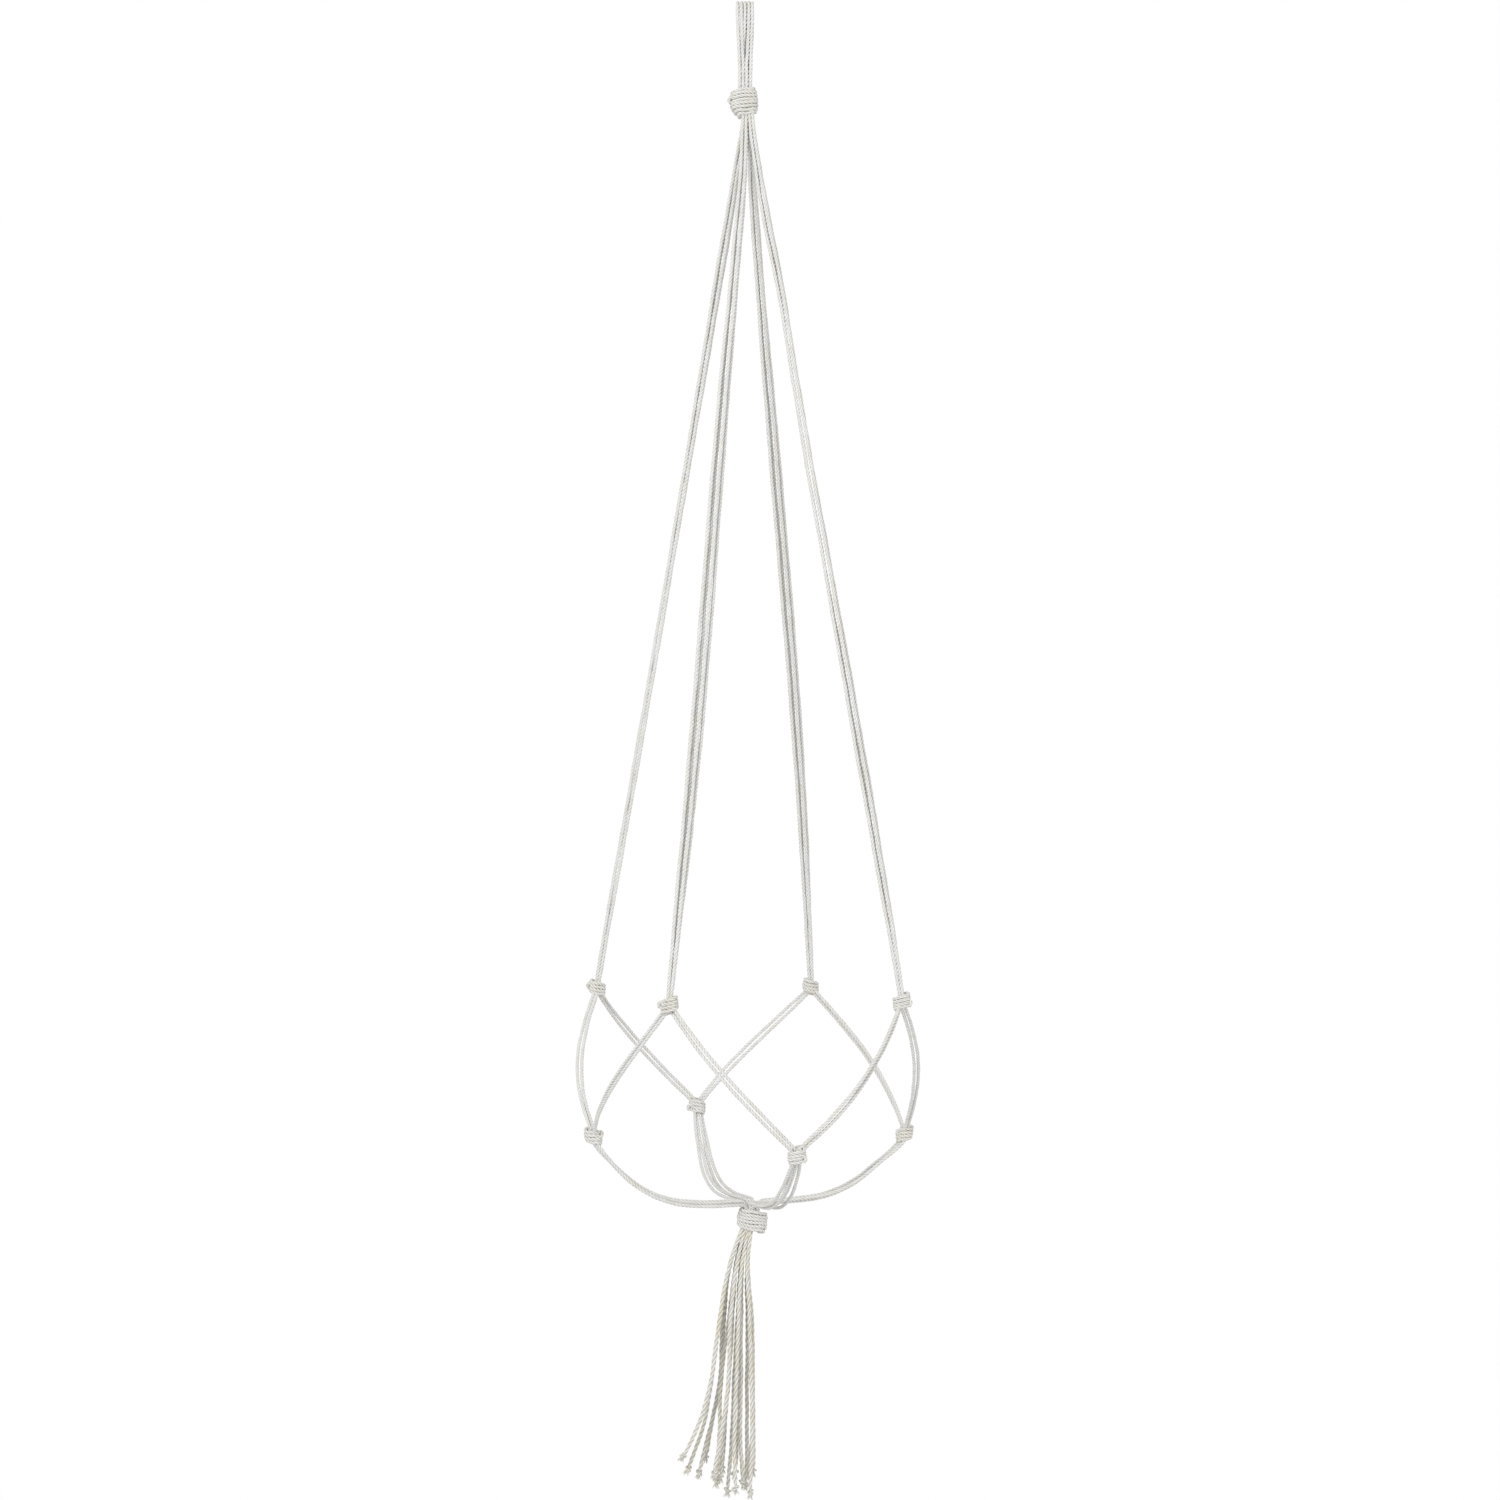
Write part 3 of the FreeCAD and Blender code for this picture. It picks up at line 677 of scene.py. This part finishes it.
def net_routes(upper, lower, bow, gap, sag, roll):
    """The two strands of a pair, from the foot of an upper knot to the head of a lower one."""
    (top_x, top_y, top_z), (low_x, low_y, low_z) = UPPER_KNOTS[upper], LOWER_KNOTS[lower]
    r0, a0 = math.hypot(top_x - NET_CENTRE[0], top_y), math.atan2(top_y, top_x - NET_CENTRE[0])
    r1, a1 = math.hypot(low_x - NET_CENTRE[0], low_y), math.atan2(low_y, low_x - NET_CENTRE[0])
    turn = (a1 - a0 + math.pi) % (2 * math.pi) - math.pi
    lean = math.copysign(PAIR_LEAN, turn)
    a0 += lean / r0
    turn -= lean / r0 + lean / r1
    z0, z1 = top_z - KNOT_FOOT + PAIR_BITE, low_z + KNOT_TOP - PAIR_BITE
    middle, outward, apart = [], [], []
    places = ((0.0, r0, PITCH, 0), (0.22, r0 * 0.4 + bow * 0.6, gap * 0.95, 0.7), (0.5, bow, gap, 1),
              (0.78, r1 * 0.4 + bow * 0.6, gap * 0.95, 0.7), (1.0, r1, PITCH, 0))
    for t, radius, wide, low in places:
        out = Vector((math.cos(a0 + turn * t), math.sin(a0 + turn * t), 0))
        outward.append(out)
        middle.append(Vector((*NET_CENTRE, z0 + (z1 - z0) * t - sag * low)) + out * radius)
        apart.append(wide)
    routes = [[], []]
    for i, wide in enumerate(apart):
        along = middle[min(i + 1, 4)] - middle[max(i - 1, 0)]
        across = Matrix.Rotation(math.radians(roll), 3, along) @ along.cross(outward[i]).normalized() * (wide / 2)
        routes[0].append(middle[i] - across)
        routes[1].append(middle[i] + across)
    into_top = (Vector(UPPER_KNOTS[upper]) - middle[0]) * 0.7
    into_low = (Vector(LOWER_KNOTS[lower]) - middle[-1]) * 0.7
    return [[r[0] + into_top] + r + [r[-1] + into_low] for r in routes]


for upper, lower, bow, gap, sag, roll in NET_PAIRS:
    lines = [wander(smooth_line(route), PAIR_DRIFT) for route in net_routes(upper, lower, bow, gap, sag, roll)]
    piece = add_piece(f"net_strands_{upper}_{lower}", cord_mesh([strand(line) for line in lines]), COTTON,
                      "cotton_cord", f"net_pair_{upper}_{lower}")
    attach(piece, "basket")
print("net pairs", len(NET_PAIRS))

# %% [markdown]
# From each lower knot four strands run in under the pot. They come out of the knot side by side, lie flat
# where the pot would stand, and all turn down together into the base knot.

# %% Base cords
BASE_CENTRE = Vector((0.0049, 0.0, 0.0))
BASE_START_PITCH, BASE_STAGGER = 0.0026, 0.0010
BASE_PROFILE = ((0.0930, -0.8175, 0.0027, 0.5), (0.0760, -0.8300, 0.0030, 0.9), (0.0560, -0.8376, 0.0032, 1.0),
                (0.0340, -0.8400, 0.0030, 0.8), (0.0115, -0.8397, 0.00262, 0.2))
INTO_BASE_KNOT = ((0.0042, -0.8405, 0.0016, 0.0), (0.0030, -0.8500, 0.0014, 0.0))
BASE_SETS = {   # the four strands' places across, how high the set rides, and how far it bows to its own left
    "left": ((-1.5, -0.5, 0.5, 1.5), 0.0, 0.0), "front": ((-1.55, -0.7, 0.15, 1.5), 0.0034, 0.0),
    "right": ((-1.5, -0.55, 0.45, 1.5), 0.0, 0.0), "back": ((-1.65, -0.75, 0.45, 1.4), 0.0, 0.0062),
}


def base_route(side, i):
    """One of the four strands from a lower knot to the base knot."""
    knot = Vector(LOWER_KNOTS[side])
    places, rise, bow = BASE_SETS[side]
    outward = Vector((knot.x, knot.y, 0)) - BASE_CENTRE
    outward.normalize()
    across = Vector((-outward.y, outward.x, 0))
    stagger = BASE_STAGGER * (-1) ** i
    foot = Vector((knot.x, knot.y, knot.z - KNOT_FOOT + 0.0016))
    route = [knot + across * places[i] * 0.0012 + outward * stagger * 0.5,
             foot + across * places[i] * BASE_START_PITCH * 0.8 + outward * stagger]
    for radius, z, pitch, share in BASE_PROFILE + INTO_BASE_KNOT:
        slope = Vector((outward.x, outward.y, 0)) * 0.35 * share + Vector((0, 0, 1))
        point = BASE_CENTRE + outward * radius + across * (places[i] * pitch + bow * share)
        route.append(point + Vector((0, 0, z + rise * share)) + slope * stagger)
    return route


for side in LOWER_KNOTS:
    lines = [wander(smooth_line(base_route(side, i)), PAIR_DRIFT) for i in range(4)]
    piece = add_piece(f"base_strands_{side}", cord_mesh([strand(line) for line in lines]), COTTON, "cotton_cord",
                      f"base_cords_{side}")
    knot = Vector(LOWER_KNOTS[side])
    outward = Vector((knot.x, knot.y, 0)) - BASE_CENTRE
    outward.normalize()
    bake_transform(piece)
print("base cords", len(LOWER_KNOTS), "of four strands")

# %% [markdown]
# The base knot gathers all sixteen strands as the top knot does, and is made in the same way. It is a little
# wider and lower, hangs just to the right of the middle, and its head is hidden by the cords that run into it.

# %% Base knot
BASE_KNOT = dict(middle=(0.0050, 0.0, -0.8517), thickness=0.0056, height=0.72, turn=math.pi, lean=(0.0, 0.0),
                 rows=6, layers=2, cord=0.0026, ends=(1.6, 1.8),
                 narrowing=((-0.0125, 0.55), (-0.0090, 0.80), (-0.0045, 1.0), (0.0020, 1.0), (0.0060, 0.86),
                            (0.0100, 0.62)))
base_knot = add_piece("base_knot_tied", tied_knot(**BASE_KNOT), KNOTTED, "knotted_cord", "base_knot")
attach(base_knot, "base_knot")
print("base knot", len(base_knot.data.polygons), "faces")

# %% [markdown]
# The tassel is the sixteen loose ends. They leave the base knot in four rows of four, hang, and drift apart
# towards the left. Near its tip each has a single tight overhand knot that stops it from unravelling, and
# below that the cord has opened into fine fibres, so its end is a little brush.

# %% Tassel
TAIL_X, TAIL_PITCH, TAIL_TOP_Z, TAIL_KNOT_UP = -0.0011, 0.00295, -0.8674, 0.0060
TAIL_STATIONS = (-0.886, -0.921, -0.964, -1.004)
TAILS = (
    ((-0.0125, -0.006), (-0.0176, -0.0076), (-0.0234, -0.0086), (-0.035, -0.0105), (-0.0456, -0.012, -1.0195)),
    ((-0.0068, -0.0064), (-0.0106, -0.0094), (-0.0112, -0.0112), (-0.0172, -0.0126), (-0.0226, -0.0124, -1.032)),
    ((-0.0032, -0.006), (-0.0044, -0.0082), (-0.0064, -0.0096), (-0.0076, -0.0108), (-0.0066, -0.0124, -1.0427)),
    ((0.001, -0.0056), (0.0032, -0.0064), (0.0046, -0.007), (0.005, -0.0084), (0.0034, -0.008, -1.047)),
    ((-0.0116, -0.002), (-0.018, -0.0022), (-0.0234, -0.0026), (-0.03, -0.0036), (-0.042, -0.0046, -1.0307)),
    ((-0.0074, -0.0024), (-0.0092, -0.0038), (-0.0116, -0.0052), (-0.0156, -0.0066), (-0.0174, -0.0074, -1.036)),
    ((-0.003, -0.0022), (-0.003, -0.0032), (-0.0028, -0.0042), (-0.0036, -0.0054), (-0.0012, -0.006, -1.0405)),
    ((0.0014, -0.0018), (0.0052, -0.0012), (0.0056, -0.0014), (0.0062, -0.0022), (0.0056, -0.0012, -1.0335)),
    ((-0.012, 0.0018), (-0.0164, 0.0024), (-0.0168, 0.0028), (-0.0254, 0.0026), (-0.0337, 0.0018, -1.0357)),
    ((-0.007, 0.0016), (-0.0114, 0.0018), (-0.017, -0.0004), (-0.0182, -0.001), (-0.0204, -0.0018, -1.041)),
    ((-0.0034, 0.0018), (-0.0056, 0.0022), (-0.0076, 0.001), (-0.0092, 0.0002), (-0.0126, -0.0008, -1.0476)),
    ((0.0012, 0.002), (0.0016, 0.0026), (0.0014, 0.0026), (0.0016, 0.0016), (0.0002, 0.0004, -1.0435)),
    ((-0.0118, 0.0058), (-0.0146, 0.0072), (-0.0166, 0.0082), (-0.0246, 0.0088), (-0.0284, 0.0084, -1.026)),
    ((-0.0066, 0.0062), (-0.009, 0.0076), (-0.011, 0.0078), (-0.0149, 0.007), (-0.0162, 0.0056, -1.033)),
    ((-0.0028, 0.006), (-0.0026, 0.007), (-0.0036, 0.0074), (-0.0048, 0.0072), (-0.0074, 0.0066, -1.037)),
    ((0.0014, 0.0056), (0.0046, 0.0066), (0.006, 0.0064), (0.0054, 0.0062), (0.0022, 0.0054, -1.038)),
)
TAIL_FULLNESS = 1.06                        # the opened twist makes a tail look fuller
TAPER_LENGTH, TAPER_LEAST = 0.008, 0.45     # a tail thins into its tip knot
TIP_KNOT_THICKNESS, TIP_KNOT_RADIUS = 0.00138, 0.00088
BRUSH_FIBRES, BRUSH_STEPS = 16, 7
BRUSH_START, BRUSH_SPREAD, FIBRE_RADIUS = 0.0004, 0.0025, 0.00038
FIBRE_TURN = 2.4                            # from one fibre to the next, so that they spread all round


def tail_route(n):
    """One tail, from inside the base knot to its tip."""
    row, column = divmod(n, 4)
    top = (TAIL_X + (column - 1.5) * TAIL_PITCH, (row - 1.5) * TAIL_PITCH, TAIL_TOP_Z)
    inside = (0.0014 + (column - 1.5) * 0.0019, (row - 1.5) * 0.0019, -0.8575)
    stations = [(x, y, z) for (x, y), z in zip(TAILS[n], TAIL_STATIONS)]
    return [inside, top] + stations + [TAILS[n][4]]


def tip_knot(line, place):
    """The small knot near the tip, tied from the tail's own cord."""
    down = Vector(line[place + 1] - line[place - 1]).normalized()
    turned = np.array((-down).to_track_quat("Z", "Y").to_matrix())
    knot = TIED[np.abs(TIED[:, 2]) < 1.6] * TIP_KNOT_THICKNESS
    spin = np.array(Matrix.Rotation(rng.uniform(0, 6.28), 3, "Z"))
    knot = evenly(knot @ spin.T @ turned.T + line[place], RING_STEP * 0.55)
    return knot, TIP_KNOT_RADIUS, rng.uniform(0, 6.28)


def brush(line, place):
    """The fine fibres below the knot."""
    start, tip = line[place], line[-1]
    down = (tip - start) / np.linalg.norm(tip - start)
    across = np.cross(down, (0.0, 1.0, 0.0))
    across /= np.linalg.norm(across)
    other = np.cross(down, across)
    fibres = []
    for k in range(BRUSH_FIBRES):
        angle, splay = k * FIBRE_TURN + rng.uniform(-0.3, 0.3), rng.uniform(0.15, 1.0)
        reach = np.linalg.norm(tip - start) * rng.uniform(0.72, 1.0)
        curl = rng.uniform(-0.5, 0.5)
        points = []
        for t in np.linspace(0, 1, BRUSH_STEPS):
            out = BRUSH_START + BRUSH_SPREAD * splay * t ** 1.3
            turn = angle + curl * t
            points.append(start + down * reach * t + out * (math.cos(turn) * across + math.sin(turn) * other))
        radius = FIBRE_RADIUS * (1 - 0.7 * np.linspace(0, 1, BRUSH_STEPS))
        fibres.append((np.array(points), radius, 0.0))
    return fibres


def joined(*meshes):
    """Several meshes as one."""
    bm = bmesh.new()
    for mesh in meshes:
        bm.from_mesh(mesh)
    whole = meshes[0]
    bm.to_mesh(whole)
    bm.free()
    return whole


tail_lengths = []
for n in range(len(TAILS)):
    line = wander(smooth_line(tail_route(n)), TAIL_DRIFT)
    place = len(line) - int(round(TAIL_KNOT_UP / RING_STEP))
    cord_part = line[:place + 1]
    radius = uneven(cord_part, TAIL_CORD) * TAIL_FULLNESS
    left = np.r_[0, np.cumsum(np.linalg.norm(np.diff(cord_part[::-1], axis=0), axis=1))][::-1]
    radius *= np.clip(TAPER_LEAST + left / TAPER_LENGTH, TAPER_LEAST, 1.0)
    cord_itself = cord_mesh([(cord_part, radius, rng.uniform(0, 6.28)), tip_knot(line, place)], LOOSE_PLY,
                            TAIL_TWIST_LENGTH)
    piece = add_piece(f"tail_strand_{n + 1:02d}", joined(cord_itself, cord_mesh(brush(line, place), FIBRE)), LOOSE,
                      "tassel_cord", f"tail_{n + 1:02d}")
    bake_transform(piece)
    tail_lengths.append(length_of(line))
print("tails", len(tail_lengths), "from", round(min(tail_lengths), 3), "to", round(max(tail_lengths), 3), "m")

# %% [markdown]
# The hanger hangs free in a white room. A pale round floor lies below it, darker only near the middle where
# the shadow falls, and fades to white at its rim. The camera sees the room as white, while the light that it
# gives is lower, so that the pale cotton keeps its shades. A large soft lamp at the upper left models the
# twist and the knots, and a weaker one on the right keeps the far side from going grey.

# %% Floor, room and lamps
FLOOR_Z, FLOOR_R = -1.25, 1.6
WHITE = (1.0, 1.0, 1.0, 1.0)
ROOM_LIGHT, KEY_WATTS, FILL_WATTS = 0.62, 28.0, 9.0


def seen_directly(nodes, links):
    """One for camera, glossy and transmission rays, and nought for the light that falls on the cotton."""
    path = nodes.new("ShaderNodeLightPath")
    seen = number(nodes, links, "MAXIMUM", path.outputs["Is Camera Ray"], path.outputs["Is Glossy Ray"])
    return number(nodes, links, "MAXIMUM", seen, path.outputs["Is Transmission Ray"])


def floor_finish():
    material = bpy.data.materials.new("pale_floor")
    material.use_nodes = True
    nodes, links = material.node_tree.nodes, material.node_tree.links
    nodes.clear()
    out = nodes.new("ShaderNodeOutputMaterial")
    pale = nodes.new("ShaderNodeBsdfDiffuse")
    pale.inputs["Color"].default_value = (0.86, 0.86, 0.86, 1)
    white = nodes.new("ShaderNodeEmission")
    white.inputs["Color"].default_value = WHITE
    away = nodes.new("ShaderNodeVectorMath")
    away.operation = "LENGTH"
    place = nodes.new("ShaderNodeTexCoord")
    level = nodes.new("ShaderNodeVectorMath")
    level.operation = "MULTIPLY"
    level.inputs[1].default_value = (1, 1, 0)
    links.new(place.outputs["Object"], level.inputs[0])
    links.new(level.outputs[0], away.inputs[0])
    rim = spread_out(nodes, links, away.outputs["Value"], 0.35, 1.0, 0.12, 0.50)
    mix = nodes.new("ShaderNodeMixShader")
    links.new(number(nodes, links, "MULTIPLY", rim, seen_directly(nodes, links)), mix.inputs["Fac"])
    links.new(pale.outputs["BSDF"], mix.inputs[1])
    links.new(white.outputs["Emission"], mix.inputs[2])
    links.new(mix.outputs["Shader"], out.inputs["Surface"])
    return material


bm = bmesh.new()
bmesh.ops.create_circle(bm, cap_ends=True, radius=FLOOR_R, segments=96, matrix=Matrix.Translation((0, 0, FLOOR_Z)))
floor_mesh = bpy.data.meshes.new("floor")
bm.to_mesh(floor_mesh)
bm.free()
floor_mesh.materials.append(floor_finish())
floor = bpy.data.objects.new("floor", floor_mesh)
bpy.context.collection.objects.link(floor)

world = bpy.data.worlds.new("white_room")
bpy.context.scene.world = world
world.use_nodes = True
nodes, links = world.node_tree.nodes, world.node_tree.links
nodes.clear()
room, seen_room = nodes.new("ShaderNodeBackground"), nodes.new("ShaderNodeBackground")
room.inputs["Color"].default_value = seen_room.inputs["Color"].default_value = WHITE
room.inputs["Strength"].default_value = ROOM_LIGHT
seen_room.inputs["Strength"].default_value = 1.0
choose = nodes.new("ShaderNodeMixShader")
links.new(seen_directly(nodes, links), choose.inputs["Fac"])
links.new(room.outputs[0], choose.inputs[1])
links.new(seen_room.outputs[0], choose.inputs[2])
links.new(choose.outputs[0], nodes.new("ShaderNodeOutputWorld").inputs["Surface"])

LAMPS = (("key", (-1.3, -1.9, 0.5), KEY_WATTS, 0.9), ("fill", (1.6, -1.2, -0.3), FILL_WATTS, 1.2))
for name, spot, watts, size in LAMPS:
    lamp = bpy.data.lights.new(name, "AREA")
    lamp.energy = watts
    lamp.size = size
    lamp_object = bpy.data.objects.new(name, lamp)
    lamp_object.location = spot
    lamp_object.rotation_euler = (Vector((0, 0, -0.5)) - Vector(spot)).to_track_quat("-Z", "Y").to_euler()
    bpy.context.collection.objects.link(lamp_object)
bpy.context.scene.view_settings.view_transform = "Standard"
print("lamps and floor ready")

# %% Check the size and finish
for section in (THREE_PLY, LOOSE_PLY, FIBRE):
    bpy.data.objects.remove(section)
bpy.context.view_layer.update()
meshes = [o.data for o in bpy.data.objects if o.type == "MESH"]
print("triangles", sum(len(p.vertices) - 2 for mesh in meshes for p in mesh.polygons))
